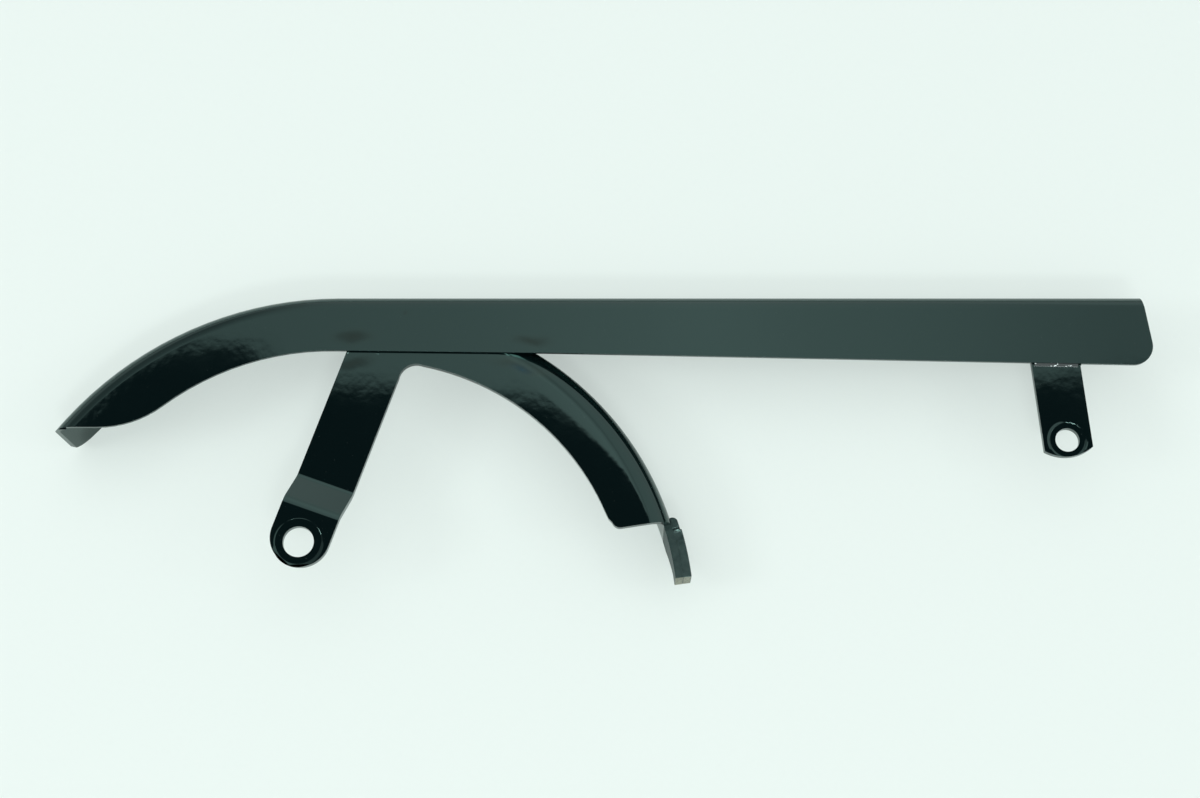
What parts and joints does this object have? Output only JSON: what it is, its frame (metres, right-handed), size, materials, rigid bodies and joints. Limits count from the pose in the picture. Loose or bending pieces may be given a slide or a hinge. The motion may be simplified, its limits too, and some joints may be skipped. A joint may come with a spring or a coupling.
{
  "type": "motorcycle belt guard",
  "caption": "Pressed and welded steel belt guard with a rolled top flange, a downswept nose, an arm with a stepped tab, an arc shield with an end lug, and a tail bracket.",
  "frame": {"origin": "centre of the arm's hole, on the outer face of its tab", "axes": "+X from the nose towards the tail, +Y towards the top flange, +Z out of the side wall along both bolt axes; the part lies on its flange edges with the side wall up"},
  "size_m": [0.6064, 0.1575, 0.062],
  "materials": {
    "black_gloss": "gloss black paint",
    "grey_satin": "satin grey, worn to bare steel at the lower end"
  },
  "bodies": {
    "root": {"cover": "black_gloss", "arm_shield": "black_gloss", "tail_bracket": "black_gloss", "end_lug": "grey_satin"}
  },
  "joints": []
}
